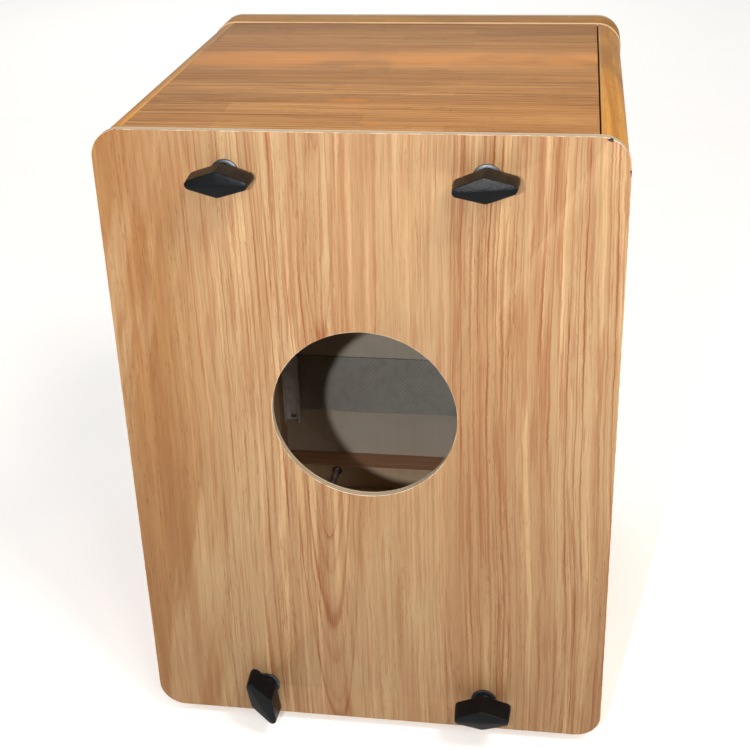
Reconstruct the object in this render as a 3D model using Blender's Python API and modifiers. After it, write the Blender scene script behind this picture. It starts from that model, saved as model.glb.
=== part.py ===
"""A cajon whose rear panel is clamped to the front frame by four knobs on long tie rods.

Metres, +Z up. The playing face (tapa) looks towards -Y, the panel with the sound hole towards +Y, and
"left" is +X, the left hand of the seated player. The origin is on the floor, under the middle of the
bounding box. Heights given as box heights are measured from the underside of the box, above the feet.
"""

import math

import bmesh
import bpy
from mathutils import Matrix, Vector

# ---------------------------------------------------------------- driving dimensions (metres)

BOX_WIDTH = 0.320
BOX_DEPTH = 0.315
BOX_HEIGHT = 0.440
CORNER_RADIUS = 0.018
GAP = 0.0003
OVERCUT = 0.001

FOOT_HEIGHT = 0.008
FOOT_RADIUS = 0.014
FOOT_X = 0.108
FOOT_INSET_Y = 0.050

TAPA_THICKNESS = 0.0035
FRAME_DEPTH = 0.028
FRAME_WIDTH = 0.0315
CARCASS_INSET = 0.001

SEAT_THICKNESS = 0.012
SIDE_THICKNESS = 0.009
BASE_THICKNESS = 0.009
OPEN_JOINT = 0.0008
STRIP_BLOCK = 0.020

PANEL_THICKNESS = 0.005
SOUND_HOLE_RADIUS = 0.060
SOUND_HOLE_HEIGHT = 0.2515
CLEAT_DEPTH = 0.015
CLEAT_HEIGHT = 0.026
CLEAT_PLAY = 0.0005

ROD_X = 0.078
ROD_INSET_Z = 0.026
ROD_RADIUS = 0.003
ROD_BITE = 0.014
ROD_CHAMFER = 0.001
ROD_CLEARANCE = 0.0005
INSERT_RADIUS = 0.0043
INSERT_LENGTH = 0.012

WASHER_RADIUS = 0.009
WASHER_THICKNESS = 0.0016
KNOB_REACH = 0.024
KNOB_HALF_LENGTH = 0.0185
KNOB_HALF_WIDTH = 0.008
KNOB_TIP_HALF_WIDTH = 0.0018
KNOB_TIP_CUT = 0.0006
KNOB_WAIST_HALF_LENGTH = 0.0015
KNOB_BACK_SCALE = 1.06
KNOB_WING_BACK = 0.006
KNOB_ROOF_DROP = 0.002
KNOB_EDGE_RADIUS = 0.0007
HUB_RADIUS = 0.0075
HUB_TAPER = 0.0006
HUB_OVERLAP = 0.002
KNOB_BORE_DEPTH = 0.016
KNOB_REST_DEGREES = {
    "top_left": 0.0,
    "top_right": 4.3,
    "bottom_left": -64.0,
    "bottom_right": 3.0,
}

MESH_HALF_LENGTH = 0.119
MESH_BOTTOM = 0.076
MESH_TOP = 0.133
MESH_THICKNESS = 0.001
CLAMP_X = 0.121
CLAMP_WIDTH = 0.014
CLAMP_DEPTH = 0.008
CLAMP_WALL = 0.0013
CLAMP_BOTTOM = 0.066
CLAMP_TOP = 0.143
CLAMP_SCREW_INSET = 0.0050

TAPA_SCREW_LENGTH = 0.016
TAPA_SCREW_RADIUS = 0.0015
TAPA_SCREW_POINT = 0.004
TAPA_HEAD_RADIUS = 0.0032
TAPA_HEAD_DEPTH = 0.0017
TAPA_HEAD_SUNK = 0.0002
TAPA_SCREW_INSET_Z = 0.012
TAPA_SCREW_INSET_X = 0.013
TAPA_TOP_SCREW_X = (0.120, 0.040, -0.040, -0.120)
TAPA_BOTTOM_SCREW_X = 0.060
TAPA_SIDE_SCREW_HEIGHTS = {"upper": 0.290, "lower": 0.150}
FOOT_TAPER = 0.0015
FOOT_EDGE = 0.001
FOOT_RECESS_RADIUS = 0.0052
FOOT_RECESS_DEPTH = 0.0045
FOOT_SCREW_RADIUS = 0.0019
FOOT_SCREW_BITE = 0.007
FOOT_SCREW_POINT = 0.003
FOOT_SCREW_HEAD = ((0.0040, 0.0), (0.0040, -0.0012), (0.0028, -0.0024), (0.0, -0.0027))
CLAMP_SCREW_RADIUS = 0.0012
CLAMP_SCREW_BITE = 0.0022
CLAMP_SCREW_POINT = 0.0008
CLAMP_SCREW_HEAD = ((0.0, 0.0017), (0.0016, 0.0015), (0.0024, 0.0007), (0.0024, 0.0))

# ---------------------------------------------------------------- planes worked out from them

FRONT_FACE = -(BOX_DEPTH + KNOB_REACH) / 2
REAR_FACE = FRONT_FACE + BOX_DEPTH
TAPA_BACK = FRONT_FACE + TAPA_THICKNESS
FRAME_FRONT = TAPA_BACK + GAP
FRAME_REAR = FRONT_FACE + FRAME_DEPTH
CARCASS_FRONT = FRAME_REAR + GAP
PANEL_FRONT = REAR_FACE - PANEL_THICKNESS
CARCASS_REAR = PANEL_FRONT - GAP

BOX_BOTTOM = FOOT_HEIGHT
BOX_TOP = FOOT_HEIGHT + BOX_HEIGHT
HALF_WIDTH = BOX_WIDTH / 2
CARCASS_BOTTOM = BOX_BOTTOM + CARCASS_INSET
CARCASS_TOP = BOX_TOP - CARCASS_INSET
CARCASS_SIDE = HALF_WIDTH - CARCASS_INSET
STRIP_RADIUS = CORNER_RADIUS - CARCASS_INSET
JOINT_X = CARCASS_SIDE - STRIP_RADIUS
BLOCK_X = CARCASS_SIDE - SIDE_THICKNESS - STRIP_BLOCK

SIDES = {"left": 1, "right": -1}
LEVELS = {"top": BOX_TOP - ROD_INSET_Z, "bottom": BOX_BOTTOM + ROD_INSET_Z}
CORNERS = {
    f"{level}_{side}": (sign * ROD_X, height)
    for level, height in LEVELS.items()
    for side, sign in SIDES.items()
}
FULL_TURN = 2 * math.pi
TO_PLUS_Y = Matrix.Rotation(-math.pi / 2, 4, "X")
TO_MINUS_Y = Matrix.Rotation(math.pi / 2, 4, "X")
TO_MINUS_Z = Matrix.Rotation(math.pi, 4, "X")

# ---------------------------------------------------------------- scene and materials

for old in list(bpy.data.objects):
    bpy.data.objects.remove(old, do_unlink=True)

parts = bpy.data.collections.new("cajon")
cutters = bpy.data.collections.new("cutters")
bpy.context.scene.collection.children.link(parts)
bpy.context.scene.collection.children.link(cutters)


def make_material(name, colour, roughness, metallic=0.0):
    material = bpy.data.materials.new(name)
    material.use_nodes = True
    shader = material.node_tree.nodes["Principled BSDF"]
    shader.inputs["Base Color"].default_value = (*colour, 1.0)
    shader.inputs["Roughness"].default_value = roughness
    shader.inputs["Metallic"].default_value = metallic
    material.diffuse_color = (*colour, 1.0)
    return material


LAMINATE = make_material("rear_laminate", (0.69, 0.44, 0.24), 0.45)
SEAT_WOOD = make_material("seat_wood", (0.50, 0.26, 0.12), 0.40)
SIDE_WOOD = make_material("side_wood", (0.50, 0.28, 0.13), 0.40)
FRAME_LACQUER = make_material("frame_lacquer", (0.48, 0.28, 0.09), 0.30)
TAPA_WOOD = make_material("tapa_wood", (0.62, 0.42, 0.25), 0.40)
RAW_WOOD = make_material("raw_wood", (0.60, 0.43, 0.26), 0.70)
BLACK_PLASTIC = make_material("black_plastic", (0.02, 0.02, 0.022), 0.40)
BLACK_RUBBER = make_material("black_rubber", (0.03, 0.03, 0.03), 0.80)
ZINC_STEEL = make_material("zinc_steel", (0.55, 0.55, 0.56), 0.35, 1.0)
DARK_STEEL = make_material("dark_steel", (0.16, 0.16, 0.17), 0.45, 1.0)
MESH_STEEL = make_material("mesh_steel", (0.38, 0.38, 0.37), 0.45, 1.0)
CHANNEL_ALUMINIUM = make_material("channel_aluminium", (0.72, 0.72, 0.73), 0.35, 1.0)

# ---------------------------------------------------------------- modelling helpers


def add_part(name, data, material, collection=parts):
    """Link one sub-part under the collection, with its material."""
    obj = bpy.data.objects.new(name, data)
    if material is not None:
        data.materials.append(material)
    collection.objects.link(obj)
    return obj


def block_mesh(name, low, high, round_edges=None, radius=0.0, segments=8):
    """A box between two corners. round_edges picks the edges to round from their two end points."""
    low, high = Vector(low), Vector(high)
    bm = bmesh.new()
    bmesh.ops.create_cube(bm, size=1.0)
    bmesh.ops.scale(bm, vec=high - low, verts=bm.verts)
    bmesh.ops.translate(bm, vec=(low + high) / 2, verts=bm.verts)
    if round_edges is not None:
        edges = [edge for edge in bm.edges if round_edges(*(vert.co for vert in edge.verts))]
        bmesh.ops.bevel(
            bm, geom=edges, offset=radius, segments=segments, profile=0.5, affect="EDGES"
        )
    mesh = bpy.data.meshes.new(name)
    bm.to_mesh(mesh)
    bm.free()
    return mesh


def add_block(name, low, high, material, **rounding):
    return add_part(name, block_mesh(name, low, high, **rounding), material)


def along_depth(a, b):
    """True for an edge that runs from the front of the box to its rear."""
    return abs(a.y - b.y) > abs(a.x - b.x) + abs(a.z - b.z)


def cut_cylinders(target, name, cylinders, segments=16):
    """Cut round holes: each cylinder is (first radius, last radius, first point, last point)."""
    bm = bmesh.new()
    for first_radius, last_radius, first, last in cylinders:
        first, last = Vector(first), Vector(last)
        along = last - first
        turn = along.to_track_quat("Z", "Y").to_matrix().to_4x4()
        bmesh.ops.create_cone(
            bm,
            cap_ends=True,
            segments=segments,
            radius1=first_radius,
            radius2=last_radius,
            depth=along.length,
            matrix=Matrix.Translation((first + last) / 2) @ turn,
        )
    mesh = bpy.data.meshes.new(name)
    bm.to_mesh(mesh)
    bm.free()
    cutter = add_part(name, mesh, None, cutters)
    use_cutter(target, cutter)


def use_cutter(target, cutter, operation="DIFFERENCE"):
    cutter.hide_render = True
    cutter.display_type = "WIRE"
    boolean = target.modifiers.new(cutter.name, "BOOLEAN")
    boolean.operation = operation
    boolean.solver = "EXACT"
    boolean.object = cutter


def add_turned(name, profile, material, place, steps=24, ring=False):
    """Turn a profile of (radius, height), down its outer side, about local Z. A ring closes on itself."""
    mesh = bpy.data.meshes.new(name)
    count = len(profile)
    edges = [(i, i + 1) for i in range(count - 1)]
    if ring:
        edges.append((count - 1, 0))
    mesh.from_pydata([(radius, 0.0, height) for radius, height in profile], edges, [])
    obj = add_part(name, mesh, material)
    obj.matrix_world = place
    turn = obj.modifiers.new("turn", "SCREW")
    turn.angle = FULL_TURN
    turn.steps = steps
    turn.render_steps = steps
    turn.use_merge_vertices = True
    turn.merge_threshold = 1e-5
    turn.use_smooth_shade = True
    return obj


def at(x, y, z, turn=None):
    """A placement: a turn about the point, then the point itself."""
    return Matrix.Translation((x, y, z)) @ (turn or Matrix.Identity(4))


# ---------------------------------------------------------------- front frame


def rod_axis_points(corner, first_y, last_y):
    x, z = CORNERS[corner]
    return (x, first_y, z), (x, last_y, z)


def tapa_screw_places():
    """Screws round the tapa's edge: four along the top, two on each side and two along the bottom."""
    top = BOX_TOP - TAPA_SCREW_INSET_Z
    bottom = BOX_BOTTOM + TAPA_SCREW_INSET_Z
    side = HALF_WIDTH - TAPA_SCREW_INSET_X
    places = {}
    for number, x in enumerate(TAPA_TOP_SCREW_X, start=1):
        places[f"tapa_screw_top_{number}"] = (x, top)
    for name, sign in SIDES.items():
        for level, height in TAPA_SIDE_SCREW_HEIGHTS.items():
            places[f"tapa_screw_{name}_{level}"] = (sign * side, BOX_BOTTOM + height)
        places[f"tapa_screw_bottom_{name}"] = (sign * TAPA_BOTTOM_SCREW_X, bottom)
    return places


TAPA_SCREWS = tapa_screw_places()


def screw_holes_in_frame(prefix):
    """Blind pilot holes for the tapa screws whose names start with the prefix."""
    depth = FRONT_FACE + TAPA_SCREW_LENGTH + 2 * GAP
    radius = TAPA_SCREW_RADIUS + GAP
    return [
        (radius, radius, (x, FRONT_FACE, z), (x, depth, z))
        for name, (x, z) in TAPA_SCREWS.items()
        if name.startswith(prefix)
    ]


def add_front_rail(level):
    """A full-width rail with rounded outer corners, bored for two threaded inserts and the rods in them."""
    top = level == "top"
    low_z = BOX_TOP - FRAME_WIDTH if top else BOX_BOTTOM
    high_z = BOX_TOP if top else BOX_BOTTOM + FRAME_WIDTH
    outer_z = high_z if top else low_z
    rail = add_block(
        f"front_rail_{level}",
        (-HALF_WIDTH, FRAME_FRONT, low_z),
        (HALF_WIDTH, FRAME_REAR, high_z),
        FRAME_LACQUER,
        round_edges=lambda a, b: along_depth(a, b) and abs(a.z - outer_z) < GAP,
        radius=CORNER_RADIUS,
    )
    bore_end = FRAME_REAR - ROD_BITE - GAP
    socket_end = FRAME_REAR - INSERT_LENGTH - GAP
    bore = ROD_RADIUS + GAP
    socket = INSERT_RADIUS + GAP
    corners = [f"{level}_{side}" for side in SIDES]
    bores = [(bore, bore, *rod_axis_points(corner, bore_end, CARCASS_FRONT)) for corner in corners]
    sockets = [
        (socket, socket, *rod_axis_points(corner, socket_end, CARCASS_FRONT)) for corner in corners
    ]
    cut_cylinders(rail, f"front_rail_{level}_bores", bores + screw_holes_in_frame(f"tapa_screw_{level}"))
    cut_cylinders(rail, f"front_rail_{level}_sockets", sockets)


def add_front_stile(side):
    """An upright between the rails."""
    inner = SIDES[side] * (HALF_WIDTH - FRAME_WIDTH)
    outer = SIDES[side] * HALF_WIDTH
    stile = add_block(
        f"front_stile_{side}",
        (min(inner, outer), FRAME_FRONT, BOX_BOTTOM + FRAME_WIDTH + GAP),
        (max(inner, outer), FRAME_REAR, BOX_TOP - FRAME_WIDTH - GAP),
        FRAME_LACQUER,
    )
    cut_cylinders(stile, f"front_stile_{side}_holes", screw_holes_in_frame(f"tapa_screw_{side}"))


def add_tapa():
    """The thin playing face, countersunk for its screws and drilled for the snare clamps' screws."""
    tapa = add_block(
        "tapa",
        (-HALF_WIDTH, FRONT_FACE, BOX_BOTTOM),
        (HALF_WIDTH, TAPA_BACK, BOX_TOP),
        TAPA_WOOD,
        round_edges=along_depth,
        radius=CORNER_RADIUS,
    )
    hole = TAPA_SCREW_RADIUS + GAP
    through = [
        (hole, hole, (x, FRONT_FACE - OVERCUT, z), (x, TAPA_BACK + OVERCUT, z))
        for x, z in TAPA_SCREWS.values()
    ]
    clamp_hole = CLAMP_SCREW_RADIUS + GAP
    blind_end = TAPA_BACK - CLAMP_SCREW_BITE - GAP
    blind = [
        (clamp_hole, clamp_hole, (x, blind_end, z), (x, TAPA_BACK + OVERCUT, z))
        for x, z in clamp_screw_places().values()
    ]
    head = TAPA_HEAD_RADIUS + GAP
    rise = (head - hole) / TAPA_HEAD_DEPTH
    sinks = [
        (
            head + OVERCUT * rise,
            hole,
            (x, FRONT_FACE - OVERCUT, z),
            (x, FRONT_FACE + TAPA_HEAD_DEPTH, z),
        )
        for x, z in TAPA_SCREWS.values()
    ]
    cut_cylinders(tapa, "tapa_holes", through + blind, segments=12)
    cut_cylinders(tapa, "tapa_countersinks", sinks, segments=12)


def add_tapa_screws():
    """Countersunk wood screws, their heads just below the playing face."""
    profile = [
        (0.0, -TAPA_HEAD_SUNK),
        (TAPA_HEAD_RADIUS - GAP, -TAPA_HEAD_SUNK),
        (TAPA_SCREW_RADIUS, -TAPA_HEAD_SUNK - TAPA_HEAD_DEPTH),
        (TAPA_SCREW_RADIUS, -TAPA_SCREW_LENGTH + TAPA_SCREW_POINT),
        (0.0, -TAPA_SCREW_LENGTH),
    ]
    for name, (x, z) in TAPA_SCREWS.items():
        add_turned(name, profile, ZINC_STEEL, at(x, FRONT_FACE, z, TO_MINUS_Y), steps=12)


def add_threaded_inserts():
    """Sleeves let into the rails' rear faces, which the tie rods screw into."""
    inner = ROD_RADIUS + GAP
    profile = [
        (inner, 0.0),
        (INSERT_RADIUS, 0.0),
        (INSERT_RADIUS, -INSERT_LENGTH),
        (inner, -INSERT_LENGTH),
    ]
    for corner, (x, z) in CORNERS.items():
        place = at(x, FRAME_REAR, z, TO_PLUS_Y)
        add_turned(f"threaded_insert_{corner}", profile, DARK_STEEL, place, steps=20, ring=True)


# ---------------------------------------------------------------- carcass


def add_seat_and_base():
    add_block(
        "seat_panel",
        (-JOINT_X + OPEN_JOINT, CARCASS_FRONT, CARCASS_TOP - SEAT_THICKNESS),
        (JOINT_X, CARCASS_REAR, CARCASS_TOP),
        SEAT_WOOD,
    )
    base = add_block(
        "base_panel",
        (-JOINT_X, CARCASS_FRONT, CARCASS_BOTTOM),
        (JOINT_X, CARCASS_REAR, CARCASS_BOTTOM + BASE_THICKNESS),
        SIDE_WOOD,
    )
    radius = FOOT_SCREW_RADIUS + GAP
    hole_end = CARCASS_BOTTOM + FOOT_SCREW_BITE + GAP
    holes = [
        (radius, radius, (x, y, CARCASS_BOTTOM - OVERCUT), (x, y, hole_end))
        for x, y in foot_places().values()
    ]
    cut_cylinders(base, "base_panel_holes", holes, segments=12)


def add_side_panels():
    for side, sign in SIDES.items():
        inner = sign * (CARCASS_SIDE - SIDE_THICKNESS)
        outer = sign * CARCASS_SIDE
        add_block(
            f"side_panel_{side}",
            (min(inner, outer), CARCASS_FRONT, CARCASS_BOTTOM + STRIP_RADIUS),
            (max(inner, outer), CARCASS_REAR, CARCASS_TOP - STRIP_RADIUS),
            SIDE_WOOD,
        )


def strip_outline(thickness):
    """A quarter round with a square block behind it, rebated for two panels.

    Points are (inwards, downwards). The first number runs from the box's side towards its middle,
    the second from its top or bottom towards the middle of its height.
    """
    steps = 8
    points = []
    for step in range(steps + 1):
        angle = math.radians(1 + 88 * step / steps)
        points.append((STRIP_RADIUS * (1 - math.sin(angle)), STRIP_RADIUS * (1 - math.cos(angle))))
    block_end = SIDE_THICKNESS + STRIP_BLOCK
    points += [
        (SIDE_THICKNESS + GAP, STRIP_RADIUS - GAP),
        (SIDE_THICKNESS + GAP, thickness + STRIP_BLOCK),
        (block_end, thickness + STRIP_BLOCK),
        (block_end, thickness + GAP),
        (STRIP_RADIUS - GAP, thickness + GAP),
    ]
    return points


def add_corner_strips():
    for level, thickness in (("top", SEAT_THICKNESS), ("bottom", BASE_THICKNESS)):
        for side, sign in SIDES.items():
            edge_z = CARCASS_TOP if level == "top" else CARCASS_BOTTOM
            inwards = -1 if level == "top" else 1
            curve = bpy.data.curves.new(f"corner_strip_{level}_{side}", "CURVE")
            curve.dimensions = "2D"
            curve.fill_mode = "BOTH"
            curve.extrude = (CARCASS_REAR - CARCASS_FRONT) / 2
            spline = curve.splines.new("POLY")
            outline = strip_outline(thickness)
            spline.points.add(len(outline) - 1)
            for point, (inward, down) in zip(spline.points, outline):
                x = sign * (CARCASS_SIDE - inward)
                z = edge_z + inwards * down
                point.co = (x, z, 0.0, 1.0)
            spline.use_cyclic_u = True
            strip = add_part(curve.name, curve, FRAME_LACQUER)
            strip.matrix_world = at(0.0, (CARCASS_FRONT + CARCASS_REAR) / 2, 0.0, TO_MINUS_Y)


# ---------------------------------------------------------------- feet


def foot_places():
    return {
        f"{end}_{side}": (sign * FOOT_X, y)
        for end, y in (("front", FRONT_FACE + FOOT_INSET_Y), ("rear", REAR_FACE - FOOT_INSET_Y))
        for side, sign in SIDES.items()
    }


def add_feet():
    """Tapered rubber feet with a recess for the screw that holds each to the base."""
    top = CARCASS_BOTTOM - GAP
    hole = FOOT_SCREW_RADIUS + GAP
    foot = [
        (hole, top),
        (FOOT_RADIUS - FOOT_TAPER, top),
        (FOOT_RADIUS, FOOT_EDGE),
        (FOOT_RADIUS - FOOT_EDGE, 0.0),
        (FOOT_RECESS_RADIUS, 0.0),
        (FOOT_RECESS_RADIUS, FOOT_RECESS_DEPTH),
        (hole, FOOT_RECESS_DEPTH),
    ]
    head_top = FOOT_RECESS_DEPTH - GAP
    screw = [
        (0.0, CARCASS_BOTTOM + FOOT_SCREW_BITE),
        (FOOT_SCREW_RADIUS, CARCASS_BOTTOM + FOOT_SCREW_BITE - FOOT_SCREW_POINT),
        (FOOT_SCREW_RADIUS, head_top),
    ]
    screw += [(radius, head_top + rise) for radius, rise in FOOT_SCREW_HEAD]
    for place, (x, y) in foot_places().items():
        add_turned(f"rubber_foot_{place}", foot, BLACK_RUBBER, at(x, y, 0.0), steps=20, ring=True)
        add_turned(f"foot_screw_{place}", screw, ZINC_STEEL, at(x, y, 0.0), steps=12)


# ---------------------------------------------------------------- snare


def clamp_screw_places():
    return {
        f"snare_clamp_screw_{side}_{level}": (sign * CLAMP_X, z)
        for side, sign in SIDES.items()
        for level, z in (
            ("upper", BOX_BOTTOM + CLAMP_TOP - CLAMP_SCREW_INSET),
            ("lower", BOX_BOTTOM + CLAMP_BOTTOM + CLAMP_SCREW_INSET),
        )
    }


def add_snare():
    """A wire-mesh band against the tapa's inner face, and the channels that hold its ends."""
    mesh_front = TAPA_BACK + GAP
    mesh_back = mesh_front + MESH_THICKNESS
    add_block(
        "snare_mesh",
        (-MESH_HALF_LENGTH, mesh_front, BOX_BOTTOM + MESH_BOTTOM),
        (MESH_HALF_LENGTH, mesh_back, BOX_BOTTOM + MESH_TOP),
        MESH_STEEL,
    )
    floor = mesh_back + GAP
    floor_top = floor + CLAMP_WALL
    groove_mouth = floor + CLAMP_DEPTH + OVERCUT
    hole = CLAMP_SCREW_RADIUS + GAP
    screws = clamp_screw_places()
    for side, sign in SIDES.items():
        x = sign * CLAMP_X
        clamp = add_block(
            f"snare_clamp_{side}",
            (x - CLAMP_WIDTH / 2, floor, BOX_BOTTOM + CLAMP_BOTTOM),
            (x + CLAMP_WIDTH / 2, floor + CLAMP_DEPTH, BOX_BOTTOM + CLAMP_TOP),
            CHANNEL_ALUMINIUM,
        )
        groove = block_mesh(
            f"snare_clamp_{side}_groove",
            (x - CLAMP_WIDTH / 2 + CLAMP_WALL, floor_top, BOX_BOTTOM + CLAMP_BOTTOM - OVERCUT),
            (x + CLAMP_WIDTH / 2 - CLAMP_WALL, groove_mouth, BOX_BOTTOM + CLAMP_TOP + OVERCUT),
        )
        use_cutter(clamp, add_part(groove.name, groove, None, cutters))
        holes = [
            (hole, hole, (hole_x, floor - OVERCUT, z), (hole_x, floor_top + OVERCUT, z))
            for name, (hole_x, z) in screws.items()
            if side in name
        ]
        cut_cylinders(clamp, f"snare_clamp_{side}_holes", holes, segments=12)
    head_floor = floor_top + GAP
    point = TAPA_BACK - CLAMP_SCREW_BITE - head_floor
    profile = [
        *CLAMP_SCREW_HEAD,
        (CLAMP_SCREW_RADIUS, 0.0),
        (CLAMP_SCREW_RADIUS, point + CLAMP_SCREW_POINT),
        (0.0, point),
    ]
    for name, (x, z) in screws.items():
        add_turned(name, profile, ZINC_STEEL, at(x, head_floor, z, TO_PLUS_Y), steps=12)


# ---------------------------------------------------------------- rear panel


def rod_holes(first_y, last_y, corners):
    radius = ROD_RADIUS + ROD_CLEARANCE
    return [(radius, radius, *rod_axis_points(corner, first_y, last_y)) for corner in corners]


def add_rear_panel():
    panel = add_block(
        "rear_panel",
        (-HALF_WIDTH, PANEL_FRONT, BOX_BOTTOM),
        (HALF_WIDTH, REAR_FACE, BOX_TOP),
        LAMINATE,
        round_edges=along_depth,
        radius=CORNER_RADIUS,
    )
    before, behind = PANEL_FRONT - OVERCUT, REAR_FACE + OVERCUT
    centre_z = BOX_BOTTOM + SOUND_HOLE_HEIGHT
    ends = (0.0, before, centre_z), (0.0, behind, centre_z)
    sound_hole = (SOUND_HOLE_RADIUS, SOUND_HOLE_RADIUS, *ends)
    cut_cylinders(panel, "sound_hole", [sound_hole], segments=96)
    cut_cylinders(panel, "rear_panel_rod_holes", rod_holes(before, behind, CORNERS))


def add_rear_cleats():
    """Strips glued inside the rear panel, which fit under the seat and over the base."""
    cleat_back = PANEL_FRONT - GAP
    cleat_front = cleat_back - CLEAT_DEPTH
    highest = CARCASS_TOP - SEAT_THICKNESS - CLEAT_PLAY
    lowest = CARCASS_BOTTOM + BASE_THICKNESS + CLEAT_PLAY
    spans = {"top": (highest - CLEAT_HEIGHT, highest), "bottom": (lowest, lowest + CLEAT_HEIGHT)}
    for level, (low_z, high_z) in spans.items():
        cleat = add_block(
            f"rear_cleat_{level}",
            (-BLOCK_X + CLEAT_PLAY, cleat_front, low_z),
            (BLOCK_X - CLEAT_PLAY, cleat_back, high_z),
            RAW_WOOD,
        )
        corners = [f"{level}_{side}" for side in SIDES]
        holes = rod_holes(cleat_front - OVERCUT, cleat_back + OVERCUT, corners)
        cut_cylinders(cleat, f"rear_cleat_{level}_rod_holes", holes)


# ---------------------------------------------------------------- clamp knobs


def knob_outline(scale):
    """A lozenge with cut-off tips, as (along, across) points from one tip to the other and back."""
    tip = KNOB_HALF_LENGTH * scale
    tip_across = KNOB_TIP_HALF_WIDTH * scale
    waist = KNOB_HALF_WIDTH * scale
    half = [(tip, 0.0), (tip - KNOB_TIP_CUT, tip_across)]
    half += [(KNOB_WAIST_HALF_LENGTH, waist), (-KNOB_WAIST_HALF_LENGTH, waist)]
    half.append((-tip + KNOB_TIP_CUT, tip_across))
    return half + [(-along, -across) for along, across in half]


def knob_mesh(name):
    """Wings between two like lozenges. The outer face is a low gable whose ridge runs from tip to tip."""
    slope = KNOB_ROOF_DROP / KNOB_HALF_WIDTH
    bm = bmesh.new()
    back = [bm.verts.new((x, z, KNOB_WING_BACK)) for x, z in knob_outline(KNOB_BACK_SCALE)]
    front = [bm.verts.new((x, z, KNOB_REACH - slope * abs(z))) for x, z in knob_outline(1.0)]
    count = len(front)
    half = count // 2
    bm.faces.new(reversed(back))
    bm.faces.new(front[: half + 1])
    bm.faces.new(front[half:] + front[:1])
    for i in range(count):
        j = (i + 1) % count
        bm.faces.new((back[i], back[j], front[j], front[i]))
    bmesh.ops.recalc_face_normals(bm, faces=bm.faces)
    mesh = bpy.data.meshes.new(name)
    bm.to_mesh(mesh)
    bm.free()
    return mesh


def add_knobs_and_rods():
    """Each washer, knob and tie rod stands on its own rod axis, which is also its joint axis."""
    washer = [
        (ROD_RADIUS + GAP, GAP + WASHER_THICKNESS),
        (WASHER_RADIUS, GAP + WASHER_THICKNESS),
        (WASHER_RADIUS, GAP),
        (ROD_RADIUS + GAP, GAP),
    ]
    hub_foot = 2 * GAP + WASHER_THICKNESS
    rod_top = KNOB_BORE_DEPTH - GAP
    rod_end = FRAME_REAR - ROD_BITE - REAR_FACE
    rod = [
        (0.0, rod_top),
        (ROD_RADIUS, rod_top),
        (ROD_RADIUS, rod_end + ROD_CHAMFER),
        (ROD_RADIUS - ROD_CHAMFER, rod_end),
        (0.0, rod_end),
    ]
    for corner, (x, z) in CORNERS.items():
        place = at(x, REAR_FACE, z, TO_PLUS_Y)
        add_turned(f"knob_washer_{corner}", washer, ZINC_STEEL, place, steps=24, ring=True)
        add_turned(f"tie_rod_{corner}", rod, ZINC_STEEL, place, steps=20)
        turned = place @ Matrix.Rotation(math.radians(KNOB_REST_DEGREES[corner]), 4, "Z")
        knob = add_part(f"clamp_knob_{corner}", knob_mesh(f"clamp_knob_{corner}"), BLACK_PLASTIC)
        knob.matrix_world = turned
        edge = knob.modifiers.new("edge", "BEVEL")
        edge.width = KNOB_EDGE_RADIUS
        edge.segments = 2
        edge.limit_method = "ANGLE"
        edge.angle_limit = math.radians(20)
        hub = bpy.data.meshes.new(f"hub_{corner}")
        bm = bmesh.new()
        hub_length = KNOB_WING_BACK + HUB_OVERLAP - hub_foot
        bmesh.ops.create_cone(
            bm,
            cap_ends=True,
            segments=24,
            radius1=HUB_RADIUS,
            radius2=HUB_RADIUS - HUB_TAPER,
            depth=hub_length,
            matrix=Matrix.Translation((0.0, 0.0, hub_foot + hub_length / 2)),
        )
        bm.to_mesh(hub)
        bm.free()
        hub_solid = add_part(hub.name, hub, None, cutters)
        hub_solid.matrix_world = turned
        use_cutter(knob, hub_solid, "UNION")
        bore = ROD_RADIUS + GAP
        start = (x, REAR_FACE + hub_foot - OVERCUT, z)
        end = (x, REAR_FACE + KNOB_BORE_DEPTH, z)
        cut_cylinders(knob, f"knob_bore_{corner}", [(bore, bore, start, end)], segments=20)
        knob.data.shade_smooth()


add_tapa()
for rail_level in LEVELS:
    add_front_rail(rail_level)
for stile_side in SIDES:
    add_front_stile(stile_side)
add_threaded_inserts()
add_tapa_screws()
add_seat_and_base()
add_side_panels()
add_corner_strips()
add_feet()
add_snare()
add_rear_panel()
add_rear_cleats()
add_knobs_and_rods()
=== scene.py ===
"""The looks of the cajon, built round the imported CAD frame.

Metres, +Z up. The sound-hole panel looks towards +Y, and "left" is +X.
"""

import math

import bmesh
import bpy
from mathutils import Matrix, Vector


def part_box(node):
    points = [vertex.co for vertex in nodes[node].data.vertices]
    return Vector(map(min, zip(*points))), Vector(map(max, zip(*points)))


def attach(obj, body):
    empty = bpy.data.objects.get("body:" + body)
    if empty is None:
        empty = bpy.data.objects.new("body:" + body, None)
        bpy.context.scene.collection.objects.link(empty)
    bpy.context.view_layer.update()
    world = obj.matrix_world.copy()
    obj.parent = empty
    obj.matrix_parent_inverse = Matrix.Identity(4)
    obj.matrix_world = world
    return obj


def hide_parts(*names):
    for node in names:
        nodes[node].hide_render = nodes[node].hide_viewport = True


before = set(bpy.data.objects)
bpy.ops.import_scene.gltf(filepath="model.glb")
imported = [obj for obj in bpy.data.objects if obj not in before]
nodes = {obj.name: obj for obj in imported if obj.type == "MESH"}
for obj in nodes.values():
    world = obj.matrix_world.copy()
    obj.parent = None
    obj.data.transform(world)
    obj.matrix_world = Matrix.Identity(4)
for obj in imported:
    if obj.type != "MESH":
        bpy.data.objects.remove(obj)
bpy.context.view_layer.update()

# ---------------------------------------------------------------- places read from the frame

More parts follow.
